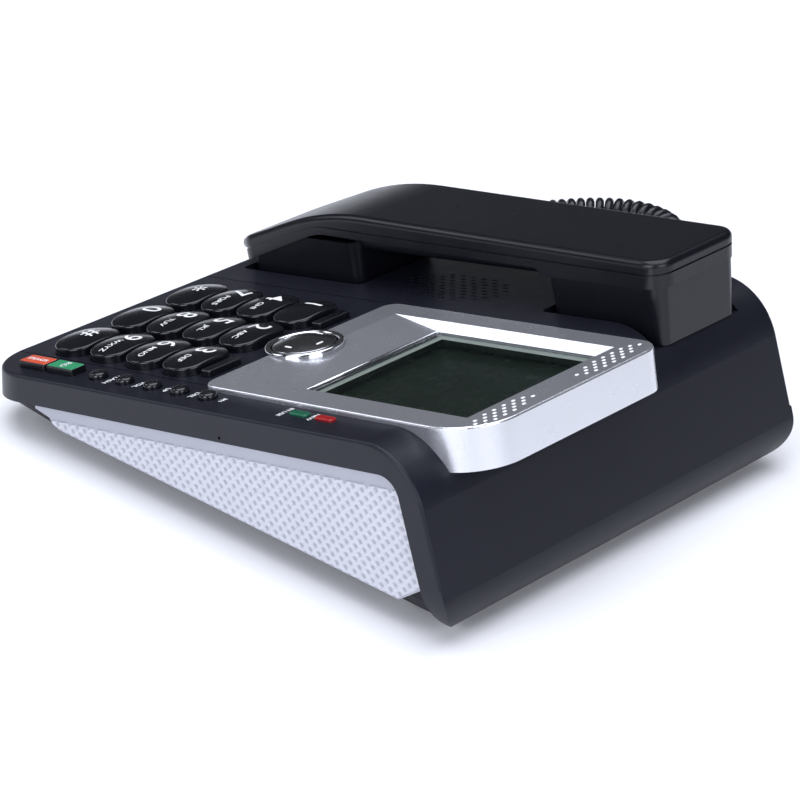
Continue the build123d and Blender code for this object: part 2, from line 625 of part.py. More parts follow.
def handset_body(inset):
    """Outer form of the handset's two shells, moved in by an inset, with rounded ends in plan."""
    outline = offset(handset_side, -inset) if inset else handset_side
    body = across(outline, *grow(HANDSET_X, -inset))
    upright = body.edges().filter_by(
        lambda e: e.length < 14 and abs(e.center().X - handset_middle) > handset_half - inset - 0.1
        and (e.center().Y < 10 or e.center().Y > 205))
    return fillet(upright, HANDSET_CORNER - inset)


def on_crown(edge):
    """Whether an edge bounds the top surface of the handset."""
    before, peak, after = CROWN_LINE
    start, end = (before, peak) if edge.center().Y < peak[0] else (peak, after)
    height = start[1] + (edge.center().Y - start[0]) * (end[1] - start[1]) / (end[0] - start[0])
    return edge.center().Z > height - 2.2


handset_form = handset_body(0)
handset_form = fillet(handset_form.edges().filter_by(on_crown), HANDSET_EDGE)
handset_space = handset_body(HANDSET_WALL)

below_seam = across(side_profile([*SEAM, (HANDSET_U[1] + 20, SEAM[2][1]), (HANDSET_U[1] + 20, -40),
                                  (-40, -40), (-40, -8.2)], {1: BEND}), -200, 0)


def cup(limits, bottom, inset=0.0):
    """Tapered block under one end of the handset, moved in by an inset."""
    x, u = grow(limits[0], -inset), grow(limits[1], -inset)
    return slab(x, u, (bottom + inset, CUP_TOP), CUP_CORNER - inset, CUP_TAPER)


grip = slab(GRIP_X, GRIP_U, (GRIP_BOTTOM, GRIP_TOP), GRIP_CORNER)
grip = fillet(grip.faces().sort_by(Axis.Z)[0].edges(), GRIP_EDGE)
grip_space = slab(grow(GRIP_X, -HANDSET_WALL), grow(GRIP_U, HANDSET_WALL),
                  (GRIP_BOTTOM + HANDSET_WALL, GRIP_SPACE_TOP), GRIP_CORNER - 1)
lower_form = handset_form + cup(EAR_CUP, CUP_BOTTOM) + cup(MOUTH_CUP, MOUTH_BOTTOM) + grip
lower_space = handset_space + cup(EAR_CUP, CUP_BOTTOM, HANDSET_WALL)
lower_space += cup(MOUTH_CUP, MOUTH_BOTTOM, HANDSET_WALL) + grip_space

post_h = (GRIP_BOTTOM + POST_START, 2 * CLEAR)
handset_posts = [disc(handset_middle, u, post_h, POST_RADIUS) for u in HANDSET_SCREWS_U]
handset_bores = [disc(handset_middle, u, (0, BORE_TOP), SCREW_RADIUS + THREAD_GAP) for u in HANDSET_SCREWS_U]
post_solid = (Part() + handset_posts) & handset_space
upper = (handset_form - handset_space) - below_seam
nodes["handset_upper_shell"] = DECK * (upper + post_solid - handset_bores)

groove_band = below_seam - Pos(0, 0, -SEAM_GROOVE[1]) * below_seam
lower = (lower_form - lower_space) & below_seam
lower -= groove_band & (handset_body(0) - handset_body(SEAM_GROOVE[0]))
plug_window = block((handset_middle - PLUG[0] / 2 - PLUG_GAP, handset_middle + PLUG[0] / 2 + PLUG_GAP),
                    (-5, 26), (PLUG_H - PLUG[1] / 2 - PLUG_GAP, PLUG_H + PLUG[1] / 2 + PLUG_GAP))
lower_holes = [plug_window]
ear_skin = (CUP_BOTTOM - 1, CUP_BOTTOM + HANDSET_WALL + 1)
mouth_skin = (MOUTH_BOTTOM - 1, MOUTH_BOTTOM + HANDSET_WALL + 1)
receiver_place = (handset_middle, RECEIVER_U)
microphone_place = (handset_middle, MICROPHONE_U)
lower_holes.append(disc(*receiver_place, ear_skin, SOUND_HOLE))
for turn in range(SOUND_HOLES):
    angle = turn * 2 * pi / SOUND_HOLES
    hole_x = handset_middle + SOUND_RING * cos(angle)
    lower_holes.append(disc(hole_x, RECEIVER_U + SOUND_RING * sin(angle), ear_skin, SOUND_HOLE))
for shift in (-VOICE_PITCH, 0.0, VOICE_PITCH):
    lower_holes.append(disc(handset_middle + shift, MICROPHONE_U, mouth_skin, VOICE_HOLE))
handset_screws = []
for u in HANDSET_SCREWS_U:
    lower_holes.append(disc(handset_middle, u, (0, SEAT_TOP), SCREW_HEAD[0] + 4 * THREAD_GAP))
    lower_holes.append(disc(handset_middle, u, (0, 2 * CLEAR), SCREW_RADIUS + 2 * THREAD_GAP))
    screw = disc(handset_middle, u, (SEAT_TOP - SCREW_HEAD[1], SEAT_TOP), SCREW_HEAD[0])
    screw += disc(handset_middle, u, (SEAT_TOP, SEAT_TOP + HANDSET_SCREW_LENGTH), SCREW_RADIUS)
    handset_screws.append((DECK * screw).solid())
screw_seats = [disc(handset_middle, u, SEAT_H, SEAT_RADIUS) for u in HANDSET_SCREWS_U]
nodes["handset_lower_shell"] = DECK * (lower + screw_seats - lower_holes)
nodes["handset_screws"] = Compound(label="handset_screws", children=handset_screws)

floor_ear = CUP_BOTTOM + HANDSET_WALL
floor_mouth = MOUTH_BOTTOM + HANDSET_WALL
(rim_radius, rim_height), (magnet_radius, magnet_height) = RECEIVER_SIZE
rim_top = floor_ear + rim_height
rim = disc(*receiver_place, (floor_ear, rim_top), rim_radius)
nodes["receiver"] = DECK * (rim + disc(*receiver_place, (rim_top, rim_top + magnet_height), magnet_radius))
microphone_h = (floor_mouth, floor_mouth + MICROPHONE_SIZE[1])
nodes["microphone"] = DECK * disc(*microphone_place, microphone_h, MICROPHONE_SIZE[0])
grip_floor = GRIP_BOTTOM + HANDSET_WALL
weight_x = (handset_middle - WEIGHT_HALF, handset_middle + WEIGHT_HALF)
nodes["handset_weight"] = DECK * block(weight_x, WEIGHT_U, (grip_floor, grip_floor + WEIGHT_HEIGHT))
socket_x = (handset_middle - HANDSET_SOCKET_HALF, handset_middle + HANDSET_SOCKET_HALF)
socket_shell = block(socket_x, HANDSET_SOCKET_U, (floor_mouth, PLUG_H + HANDSET_SOCKET_RISE))
nodes["handset_socket"] = DECK * (socket_shell - plug_window)

# ---------------------------------------------------------------- handset cord
handset_plug = block((handset_middle - PLUG[0] / 2, handset_middle + PLUG[0] / 2),
                     PLUG_U, (PLUG_H - PLUG[1] / 2, PLUG_H + PLUG[1] / 2))
boot = Plane((handset_middle, BOOT_END, PLUG_H), z_dir=(0, 1, 0)) * Cone(
    BOOT_TIP, BOOT_RADIUS, PLUG_U[0] + OVERLAP - BOOT_END, align=(Align.CENTER, Align.CENTER, Align.MIN))
nodes["cord_plug_handset"] = DECK * (handset_plug + boot)

base_plug_x = -HALF - BOOT_OUTSIDE
base_plug = block((-PANEL_FACE - 1.5, -panel_inner_x + SOCKET_DEPTH - 1.0),
                  (HANDSET_SOCKET_Y - PLUG[0] / 2, HANDSET_SOCKET_Y + PLUG[0] / 2),
                  (SOCKET_Z - PLUG[1] / 2, SOCKET_Z + PLUG[1] / 2))
base_boot = Plane((base_plug_x, HANDSET_SOCKET_Y, SOCKET_Z), z_dir=(1, 0, 0)) * Cone(
    BOOT_TIP, BOOT_RADIUS, BASE_BOOT_LENGTH, align=(Align.CENTER, Align.CENTER, Align.MIN))
nodes["cord_plug_base"] = base_plug + base_boot

lead_out = deck_point(handset_middle, BOOT_END, PLUG_H)
lead_straight = deck_point(handset_middle, BOOT_END - LEAD_STRAIGHT, PLUG_H)
HANDSET_LEAD = [
    (lead_out.X, lead_out.Y, lead_out.Z),
    (lead_straight.X, lead_straight.Y, lead_straight.Z),
    (-62.5, -132.4, 15.3),
    (-72.5, -135.6, 9.2),
    (-84.3, -135.9, CURL_Z),
]
CURL_ROUTE = [
    (-84.3, -135.9, CURL_Z),
    (-113.0, -133.5, CURL_Z),
    (-141.0, -119.0, CURL_Z),
    (-163.0, -103.0, CURL_Z),
    (-183.0, -84.0, CURL_Z),
    (-202.0, -73.0, CURL_Z),
    (-217.0, -57.0, CURL_Z),
    (-217.0, -37.0, CURL_Z),
    (-200.0, -24.0, CURL_Z),
    (-176.0, -20.0, CURL_Z),
    (-155.0, -13.0, CURL_Z),
    (-136.0, -10.5, CURL_Z),
]
BASE_LEAD = [
    (-136.0, -10.5, CURL_Z),
    (-126.0, -9.4, 8.5),
    (-118.5, -9.6, 14.0),
    (-110.5, HANDSET_SOCKET_Y, SOCKET_Z),
    (base_plug_x, HANDSET_SOCKET_Y, SOCKET_Z),
]


def bend_radii(points):
    """Largest arc that fits each corner of a route."""
    radii = []
    for before, corner, after in zip(points, points[1:], points[2:]):
        into = Vector(*corner) - Vector(*before)
        out = Vector(*after) - Vector(*corner)
        shorter = min(into.length, out.length)
        radii.append(0.45 * shorter / tan(radians(into.get_angle(out)) / 2))
    return radii


def cord_tube(points, diameter):
    """Round cord of straight runs and tangent arcs."""
    radii = bend_radii(points)
    path = FilletPolyline(*points, radius=radii)
    solid = sweep(Plane(path @ 0, z_dir=path % 0) * Circle(diameter / 2), path)
    ideal = pi * diameter ** 2 / 4 * path.length
    print(f"cord {path.length:.0f} mm, radii {[round(r, 1) for r in radii]}")
    print(f"volume against section times length {solid.volume / ideal:.4f}")
    return solid


nodes["cord_lead_handset"] = cord_tube(HANDSET_LEAD, WIRE)
nodes["handset_cord_curl"] = cord_tube(CURL_ROUTE, CURL)
nodes["cord_lead_base"] = cord_tube(BASE_LEAD, WIRE)

# ---------------------------------------------------------------- files
os.makedirs("parts", exist_ok=True)
for name, shape in nodes.items():
    export_step(shape, f"parts/{name}.step")
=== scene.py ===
"""Corded desk telephone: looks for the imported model.

Row frame: metres, +X to the user's right, +Y to the rear, +Z up. Sizes named below are millimetres
unless they are multiplied by MM.
"""
import math

import bmesh
import bpy
from mathutils import Matrix, Vector


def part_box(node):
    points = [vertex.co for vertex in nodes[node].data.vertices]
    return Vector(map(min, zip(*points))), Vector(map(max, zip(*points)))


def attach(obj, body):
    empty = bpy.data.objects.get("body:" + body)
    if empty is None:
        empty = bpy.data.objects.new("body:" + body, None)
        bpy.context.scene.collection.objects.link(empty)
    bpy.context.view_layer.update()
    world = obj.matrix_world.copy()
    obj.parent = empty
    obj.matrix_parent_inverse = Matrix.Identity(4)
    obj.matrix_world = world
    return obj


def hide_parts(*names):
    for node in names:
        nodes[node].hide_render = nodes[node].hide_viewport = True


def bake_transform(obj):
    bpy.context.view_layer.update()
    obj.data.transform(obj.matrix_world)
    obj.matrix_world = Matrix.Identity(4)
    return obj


MM = 0.001

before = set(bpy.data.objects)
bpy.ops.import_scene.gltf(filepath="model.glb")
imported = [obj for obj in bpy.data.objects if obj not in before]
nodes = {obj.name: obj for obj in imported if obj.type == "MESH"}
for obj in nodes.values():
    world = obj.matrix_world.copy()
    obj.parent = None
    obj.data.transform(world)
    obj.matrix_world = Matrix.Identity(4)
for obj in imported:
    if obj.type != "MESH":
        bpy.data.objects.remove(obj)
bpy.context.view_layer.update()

# ------------------------------------------------------------------ camera
LENS = 139.15
SENSOR = 36.0
CAMERA_PLACE = Vector((0.73775, 0.65837, 0.52010))
AZIMUTH = 131.42
ELEVATION = 26.99
ROLL = 2.3


def camera():
    """Camera that repeats the photograph's view."""
    data = bpy.data.cameras.new("camera")
    data.lens = LENS
    data.sensor_width = SENSOR
    data.clip_end = 20.0
    eye = bpy.data.objects.new("camera", data)
    bpy.context.collection.objects.link(eye)
    turn = (
        Matrix.Rotation(math.radians(AZIMUTH), 4, "Z")
        @ Matrix.Rotation(math.radians(90 - ELEVATION), 4, "X")
        @ Matrix.Rotation(math.radians(ROLL), 4, "Z")
    )
    eye.matrix_world = Matrix.Translation(CAMERA_PLACE) @ turn
    bpy.context.scene.camera = eye


camera()

# ------------------------------------------------------------------ deck frame
SLOPE = math.radians(12.5)
FRONT_Y = -113.1
FRONT_HEIGHT = 20.6


def deck(x, u, h):
    """Point on the sloping top, from its front edge, in metres."""
    y = FRONT_Y + u * math.cos(SLOPE) - h * math.sin(SLOPE)
    z = FRONT_HEIGHT + u * math.sin(SLOPE) + h * math.cos(SLOPE)
    return Vector((x, y, z)) * MM


# ------------------------------------------------------------------ materials
# Scales are in cells a metre, and each pattern is (scale, detail).
PATTERN_RANGE = (0.3, 0.7)
CLOUDS = (90, 3)
HANDLING = (140, 5)
GRAIN = (2600, 2)
GRAIN_STRENGTH = 0.6
SATIN = (900, 4)
SMEARS = (120, 5)
TINT = (60, 2)
RIPPLE = (500, 2)
FACE_UP = (0.86, 0.93)           # upward share of a normal, from a button's side to its cap


def material(name, color, rough, metallic=0.0, **sockets):
    """Principled material with its constants on the shader's own sockets."""
    mat = bpy.data.materials.new(name)
    mat.use_nodes = True
    shader = mat.node_tree.nodes["Principled BSDF"]
    shader.inputs["Base Color"].default_value = (*color, 1)
    shader.inputs["Roughness"].default_value = rough
    shader.inputs["Metallic"].default_value = metallic
    for key, value in sockets.items():
        shader.inputs[key.replace("_", " ")].default_value = value
    return mat


def noise(mat, scale, detail):
    """Noise in the object's own coordinates, in metres."""
    tree = mat.node_tree
    place = tree.nodes.new("ShaderNodeTexCoord")
    texture = tree.nodes.new("ShaderNodeTexNoise")
    texture.inputs["Scale"].default_value = scale
    texture.inputs["Detail"].default_value = detail
    tree.links.new(place.outputs["Object"], texture.inputs["Vector"])
    return texture.outputs["Fac"]


def vary_roughness(mat, fac, low, high):
    """Roughness that follows a pattern between two values."""
    tree = mat.node_tree
    ramp = tree.nodes.new("ShaderNodeMapRange")
    ramp.inputs["To Min"].default_value = low
    ramp.inputs["To Max"].default_value = high
    tree.links.new(fac, ramp.inputs["Value"])
    shader = tree.nodes["Principled BSDF"]
    tree.links.new(ramp.outputs["Result"], shader.inputs["Roughness"])


def vary_color(mat, fac, dark, light):
    """Colour that follows a pattern, plain below and above the pattern's middle range."""
    tree = mat.node_tree
    ramp = tree.nodes.new("ShaderNodeValToRGB")
    ramp.color_ramp.elements[0].position = PATTERN_RANGE[0]
    ramp.color_ramp.elements[0].color = (*dark, 1)
    ramp.color_ramp.elements[1].position = PATTERN_RANGE[1]
    ramp.color_ramp.elements[1].color = (*light, 1)
    tree.links.new(fac, ramp.inputs["Fac"])
    shader = tree.nodes["Principled BSDF"]
    tree.links.new(ramp.outputs["Color"], shader.inputs["Base Color"])


def bump(mat, fac, distance, strength):
    """Relief of a given depth that follows a pattern."""
    tree = mat.node_tree
    node = tree.nodes.new("ShaderNodeBump")
    node.inputs["Distance"].default_value = distance
    node.inputs["Strength"].default_value = strength
    tree.links.new(fac, node.inputs["Height"])
    shader = tree.nodes["Principled BSDF"]
    tree.links.new(node.outputs["Normal"], shader.inputs["Normal"])


def moulded(name, color, rough, grain=0.02 * MM, spread=0.06, contrast=1.08, **sockets):
    """Moulded or painted plastic: fine grain unless it is 0, faint clouds and handling marks."""
    mat = material(name, color, rough, **sockets)
    lighter = tuple(min(1, c * contrast + 0.0003) for c in color)
    vary_color(mat, noise(mat, *CLOUDS), color, lighter)
    vary_roughness(mat, noise(mat, *HANDLING), rough - spread, rough + spread)
    if grain:
        bump(mat, noise(mat, *GRAIN), grain, GRAIN_STRENGTH)
    return mat


def satin_metal(name, color, rough):
    """Metal with a fine satin finish."""
    mat = material(name, color, rough, metallic=1.0)
    streaks = noise(mat, *SATIN)
    vary_color(mat, streaks, tuple(c * 0.9 for c in color), color)
    vary_roughness(mat, streaks, rough - 0.05, rough + 0.07)
    bump(mat, streaks, 0.01 * MM, 0.4)
    return mat


def glossy(name, color, rough, **sockets):
    """Polished plastic with faint smears."""
    mat = material(name, color, rough, **sockets)
    vary_roughness(mat, noise(mat, *SMEARS), rough, rough + 0.1)
    lighter = tuple(min(1, c * 1.12 + 0.001) for c in color)
    vary_color(mat, noise(mat, *TINT), color, lighter)
    bump(mat, noise(mat, *RIPPLE), 0.004 * MM, 0.5)
    return mat


def capped(name, color, side, rough):
    """Button moulded in a dark plastic with a coloured cap on its upper face."""
    mat = material(name, color, rough)
    tree = mat.node_tree
    surface = tree.nodes.new("ShaderNodeNewGeometry")
    parts = tree.nodes.new("ShaderNodeSeparateXYZ")
    tree.links.new(surface.outputs["Normal"], parts.inputs["Vector"])
    upward = tree.nodes.new("ShaderNodeMapRange")
    upward.inputs["From Min"].default_value = FACE_UP[0]
    upward.inputs["From Max"].default_value = FACE_UP[1]
    tree.links.new(parts.outputs["Z"], upward.inputs["Value"])
    vary_color(mat, upward.outputs["Result"], side, color)
    vary_roughness(mat, noise(mat, *SMEARS), rough, rough + 0.1)
    return mat


BLACK = (0.004, 0.0044, 0.0065)
CASE = moulded("case_plastic", (0.0060, 0.0066, 0.0125), 0.40, Specular_IOR_Level=0.30)
HANDSET = moulded("handset_plastic", (0.0040, 0.0044, 0.0072), 0.30, grain=0.008 * MM,
                  Specular_IOR_Level=0.34)
# Side panels: the same silver plastic as the dimpled sheet, set darker than the sheet as painted
# shade on the plain band along their top.
BAND_PAINTED_SHADE = moulded("panel_band_painted_shade", (0.36, 0.37, 0.42), 0.34, grain=0.008 * MM, spread=0.03, contrast=1.03)
SHEET = moulded("panel_sheet", (0.52, 0.53, 0.58), 0.30, grain=0.006 * MM, spread=0.03,
                contrast=1.03)
BEZEL = moulded("bezel_paint", (0.70, 0.71, 0.75), 0.27, grain=0, spread=0.015, contrast=1.02,
                Metallic=0.85)
KEY = glossy("key_plastic", BLACK, 0.16)
BUTTON = glossy("button_plastic", BLACK, 0.14)
ORANGE = capped("orange_cap", (0.62, 0.075, 0.025), BLACK, 0.22)
GREEN = capped("green_cap", (0.02, 0.27, 0.11), BLACK, 0.22)
LAMP_GREEN = glossy("lamp_green", (0.004, 0.085, 0.042), 0.18)
LAMP_RED = glossy("lamp_red", (0.26, 0.005, 0.006), 0.18)
CHROME = satin_metal("ring_chrome", (0.80, 0.81, 0.83), 0.09)
PAD = satin_metal("pad_satin", (0.42, 0.42, 0.43), 0.20)
LCD = glossy("lcd_glass", (0.105, 0.170, 0.130), 0.22, Specular_IOR_Level=0.3)
MARGIN = glossy("lcd_margin", (0.24, 0.28, 0.25), 0.25, Specular_IOR_Level=0.3)
INNER = moulded("inner_plastic", (0.03, 0.03, 0.033), 0.5)
RUBBER = moulded("rubber", (0.012, 0.012, 0.012), 0.75)
STEEL = satin_metal("zinc_steel", (0.55, 0.55, 0.56), 0.32)
BOARD = moulded("circuit_board", (0.02, 0.13, 0.05), 0.4)
SPEAKER = moulded("speaker_cone", (0.04, 0.04, 0.042), 0.7)
CORD = moulded("cord_jacket", (0.006, 0.0065, 0.009), 0.30, grain=0.005 * MM)
CLEAR = glossy("clear_plastic", (0.55, 0.58, 0.60), 0.15)
PRINT = moulded("white_print", (0.82, 0.82, 0.82), 0.5, grain=0.003 * MM)

WINDOW = material("window_clear", (0.02, 0.025, 0.024), 0.05, Alpha=0.12)
vary_roughness(WINDOW, noise(WINDOW, *TINT), 0.03, 0.08)

FINISHES = {
    CASE: ["top_cover", "lower_case", "hook_plunger"],
    HANDSET: ["handset_upper_shell", "handset_lower_shell"],
    BAND_PAINTED_SHADE: ["side_panel_left", "side_panel_right"],
    BEZEL: ["display_bezel"],
    WINDOW: ["display_window"],
    LCD: ["lcd_module"],
    CHROME: ["navigation_ring"],
    PAD: ["navigation_pad"],
    INNER: ["navigation_stem", "hook_switch", "handset_socket", "handset_jack", "line_jack"],
    ORANGE: ["speaker_button"],
    GREEN: ["redial_button"],
    LAMP_GREEN: ["in_use_lamp"],
    LAMP_RED: ["message_lamp"],
    RUBBER: ["rubber_feet", "keypad_mat"],
    STEEL: ["case_screws", "handset_screws", "handset_weight"],
    BOARD: ["main_board"],
    SPEAKER: ["base_speaker", "receiver", "microphone"],
    CLEAR: ["cord_plug_handset", "cord_plug_base"],
    BUTTON: [name for name in nodes if name.startswith("function_button")],
    KEY: [name for name in nodes if name.startswith(("key_", "bar_key"))],
}
for finish, names in FINISHES.items():
    for name in names:
        nodes[name].data.materials.clear()
        nodes[name].data.materials.append(finish)


# ------------------------------------------------------------------ pieces
def mesh_piece(name, verts, faces, mat, body, smooth=True):
    """New piece from points in metres. One with no body is left for its maker to blend."""
    mesh = bpy.data.meshes.new(name)
    mesh.from_pydata([tuple(v) for v in verts], [], faces)
    mesh.validate()
    if smooth:
        mesh.polygons.foreach_set("use_smooth", [True] * len(mesh.polygons))
    mesh.materials.append(mat)
    piece = bpy.data.objects.new(name, mesh)
    bpy.context.collection.objects.link(piece)
    if body:
        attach(piece, body)
    return piece


# ------------------------------------------------------------------ cord
WIRE = 3.6                       # diameter of the jacket
CURL = 12.5                      # outer diameter of the winding
CURL_Z = CURL / 2 + 0.25         # centre line of the winding, just clear of the table
HANDSET_MIDDLE = -57.5
PLUG_H = 3.1                     # handset's plug, over the deck
BOOT_END = -2.5
LEAD_STRAIGHT = 9.0
HALF_WIDTH = 94.0                # of the case
BOOT_OUTSIDE = 6.5               # how far the base plug's boot stands out of the case
SOCKET_Z = 18.5
HANDSET_SOCKET_Y = -10.0
LINE_SOCKET_Y = 46.0
lead_out = deck(HANDSET_MIDDLE, BOOT_END, PLUG_H)
lead_straight = deck(HANDSET_MIDDLE, BOOT_END - LEAD_STRAIGHT, PLUG_H)


def mm(points):
    """Route points from millimetres to metres."""
    return [Vector(p) * MM for p in points]


HANDSET_LEAD = [lead_out, lead_straight] + mm([
    (-62.5, -132.4, 15.3),
    (-72.5, -135.6, 9.2),
    (-84.3, -135.9, CURL_Z),
])
CURL_ROUTE = mm([
    (-84.3, -135.9, CURL_Z),
    (-113.0, -133.5, CURL_Z),
    (-141.0, -119.0, CURL_Z),
    (-163.0, -103.0, CURL_Z),
    (-183.0, -84.0, CURL_Z),
    (-202.0, -73.0, CURL_Z),
    (-217.0, -57.0, CURL_Z),
    (-217.0, -37.0, CURL_Z),
    (-200.0, -24.0, CURL_Z),
    (-176.0, -20.0, CURL_Z),
    (-155.0, -13.0, CURL_Z),
    (-136.0, -10.5, CURL_Z),
])
BASE_LEAD = mm([
    (-136.0, -10.5, CURL_Z),
    (-126.0, -9.4, 8.5),
    (-118.5, -9.6, 14.0),
    (-110.5, HANDSET_SOCKET_Y, SOCKET_Z),
    (-HALF_WIDTH - BOOT_OUTSIDE, HANDSET_SOCKET_Y, SOCKET_Z),
])
LEAD_STEPS = 12
CURL_STEPS = 24


def route_line(points, steps):
    """Points along a smooth line drawn through a route."""
    curve = bpy.data.curves.new("route", "CURVE")
    curve.dimensions = "3D"
    curve.resolution_u = steps
    spline = curve.splines.new("NURBS")
    spline.points.add(len(points) - 1)
    for point, place in zip(spline.points, points):
        point.co = (*place, 1)
    spline.order_u = 3
    spline.use_endpoint_u = True
    holder = bpy.data.objects.new("route", curve)
    bpy.context.collection.objects.link(holder)
    bpy.context.view_layer.update()
    mesh = bpy.data.meshes.new_from_object(holder)
    line = [v.co.copy() for v in mesh.vertices]
    bpy.data.objects.remove(holder)
    return line


def lengths(line):
    """Distance from the start at each point of a line."""
    total = [0.0]
    for a, b in zip(line, line[1:]):
        total.append(total[-1] + (b - a).length)
    return total


def along(line, total, distance):
    """Place at a distance along a line."""
    index = next((i for i in range(len(line) - 2) if total[i + 1] >= distance), len(line) - 2)
    run = total[index + 1] - total[index]
    part = (distance - total[index]) / run if run else 0
    return line[index].lerp(line[index + 1], min(max(part, 0), 1))


PITCH = 4.0 * MM
EASE = 12.0 * MM                 # length over which the winding starts and ends
TURN_STEPS = 16
LOOK = 2.0 * MM                  # how far each way the line's direction is taken over


def helix(line):
    """Turns wound round a line, easing out from it and back to it at the ends."""
    total = lengths(line)
    steps = int(total[-1] / PITCH * TURN_STEPS)
    angle = 0.0
    radius = (CURL - WIRE) / 2 * MM
    wound = []
    for step in range(steps + 1):
        distance = total[-1] * step / steps
        place = along(line, total, distance)
        ahead = along(line, total, min(distance + LOOK, total[-1]))
        behind = along(line, total, max(distance - LOOK, 0))
        way = (ahead - behind).normalized()
        side = way.cross(Vector((0, 0, 1))).normalized()
        rise = side.cross(way).normalized()
        ease = min(1.0, min(distance, total[-1] - distance) / EASE)
        ease *= ease * (3 - 2 * ease)
        reach = radius * ease
        angle += ease * 2 * math.pi * total[-1] / steps / PITCH
        out, up = reach * math.cos(angle), reach * math.sin(angle)
        wound.append(place + side * out + rise * up)
    return wound


def tube(name, line, radius, mat, body, sides=10):
    """Round tube that follows a line, with its section turned smoothly and its ends closed."""
    verts, faces = [], []
    normal = None
    for index, place in enumerate(line):
        ahead = line[min(index + 1, len(line) - 1)]
        behind = line[max(index - 1, 0)]
        way = (ahead - behind).normalized()
        if normal is None:
            normal = way.orthogonal().normalized()
        normal = (normal - way * normal.dot(way)).normalized()
        other = way.cross(normal)
        for side in range(sides):
            angle = 2 * math.pi * side / sides
            verts.append(place + (normal * math.cos(angle) + other * math.sin(angle)) * radius)
        if index:
            start = (index - 1) * sides
            for side in range(sides):
                turn = (side + 1) % sides
                after = start + sides
                faces.append((start + side, start + turn, after + turn, after + side))
    faces.append(tuple(reversed(range(sides))))
    faces.append(tuple(range(len(verts) - sides, len(verts))))
    return mesh_piece(name, verts, faces, mat, body)


def cord():
    """Handset cord: straight lead from the handset, wound part, straight lead to the base."""
    lead_in = route_line(HANDSET_LEAD, LEAD_STEPS)
    curl = helix(route_line(CURL_ROUTE, CURL_STEPS))
    lead_back = route_line(BASE_LEAD, LEAD_STEPS)
    line = lead_in + curl[1:] + lead_back[1:]
    piece = tube("handset_cord", line, WIRE / 2 * MM, CORD, None)
    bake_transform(piece)
    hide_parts("cord_lead_handset", "handset_cord_curl", "cord_lead_base")


cord()

# ------------------------------------------------------------------ dimpled side panels
DIMPLE_STEP = (4.0, 4.8)         # between columns, and between every second row
DIMPLE_RADIUS = 1.25
DIMPLE_SQUASH = 0.92             # a hollow's height against its width
DIMPLE_DEPTH = 0.75
DIMPLE_RINGS = ((1.0, 0.0), (0.82, 0.55), (0.5, 0.88), (0.2, 1.0))    # reach and sink
PANEL_EDGE = 5.2                 # plain band along the top of a panel
SHEET_LIFT = 0.5
SHEET_MARGIN = 0.6               # from the panel's outline to the sheet's
SHEET_TUCK = 0.1                 # how far the sheet's rim goes into the panel
SHORTEST_SIDE = 0.4              # of the panel's outline
WELD = 0.02
SOCKET_WINDOWS = ((HANDSET_SOCKET_Y, 6.2), (LINE_SOCKET_Y, 7.2))    # middle and half size


def dimple_cell(y, z, sign, face_x, verts, faces):
    """One six-sided cell of the sheet with a round hollow in it."""
    half_y = DIMPLE_STEP[0] / 2
    rise = DIMPLE_STEP[1] / 2
    corners = [(half_y, rise / 3), (0, 2 * rise / 3), (-half_y, rise / 3),
               (-half_y, -rise / 3), (0, -2 * rise / 3), (half_y, -rise / 3)]
    outline = []
    for index, corner in enumerate(corners):
        after = corners[(index + 1) % len(corners)]
        outline.append(corner)
        outline.append(((corner[0] + after[0]) / 2, (corner[1] + after[1]) / 2))
    rings = [(outline, 0.0)]
    angles = [math.atan2(dz, dy) for dy, dz in outline]
    for reach, sink in DIMPLE_RINGS:
        wide, high = DIMPLE_RADIUS * reach, DIMPLE_RADIUS * DIMPLE_SQUASH * reach
        ring = [(wide * math.cos(angle), high * math.sin(angle)) for angle in angles]
        rings.append((ring, sink))
    start = len(verts)
    sides = len(outline)
    for ring, sink in rings:
        x = sign * (face_x - sink * DIMPLE_DEPTH)
        verts += [Vector((x, y + dy, z + dz)) * MM for dy, dz in ring]
    for ring in range(len(rings) - 1):
        low = start + ring * sides
        for index in range(sides):
            after = (index + 1) % sides
            faces.append((low + index, low + after, low + sides + after, low + sides + index))
    last = start + (len(rings) - 1) * sides
    faces.append(tuple(last + index for index in range(sides)))


def panel_limits(node):
    """Outline of a side panel as (point, outward direction) pairs in (y, z), in millimetres."""
    points = {(round(v.co.y / MM, 2), round(v.co.z / MM, 2)) for v in nodes[node].data.vertices}
    points = sorted(points)

    def turn(o, a, b):
        return (a[0] - o[0]) * (b[1] - o[1]) - (a[1] - o[1]) * (b[0] - o[0])

    hull = []
    for run in (points, points[::-1]):
        chain = []
        for point in run:
            while len(chain) > 1 and turn(chain[-2], chain[-1], point) <= 0:
                chain.pop()
            chain.append(point)
        hull += chain[:-1]
    limits = []
    for a, b in zip(hull, hull[1:] + hull[:1]):
        way = Vector((b[0] - a[0], b[1] - a[1]))
        if way.length > SHORTEST_SIDE:
            limits.append((Vector(a), Vector((way.y, -way.x)).normalized()))
    return limits


def cut_window(work, middle_y, half):
    """Square opening in the sheet, round a socket."""
    middle_z = SOCKET_Z * MM
    for way in ((0, 1, 0), (0, -1, 0), (0, 0, 1), (0, 0, -1)):
        edge = Vector((0, middle_y, middle_z)) + Vector(way) * half
        geometry = work.verts[:] + work.edges[:] + work.faces[:]
        bmesh.ops.bisect_plane(work, geom=geometry, plane_co=edge, plane_no=way)
    inside = [face for face in work.faces
              if abs(face.calc_center_median().y - middle_y) < half
              and abs(face.calc_center_median().z - middle_z) < half]
    bmesh.ops.delete(work, geom=inside, context="FACES")


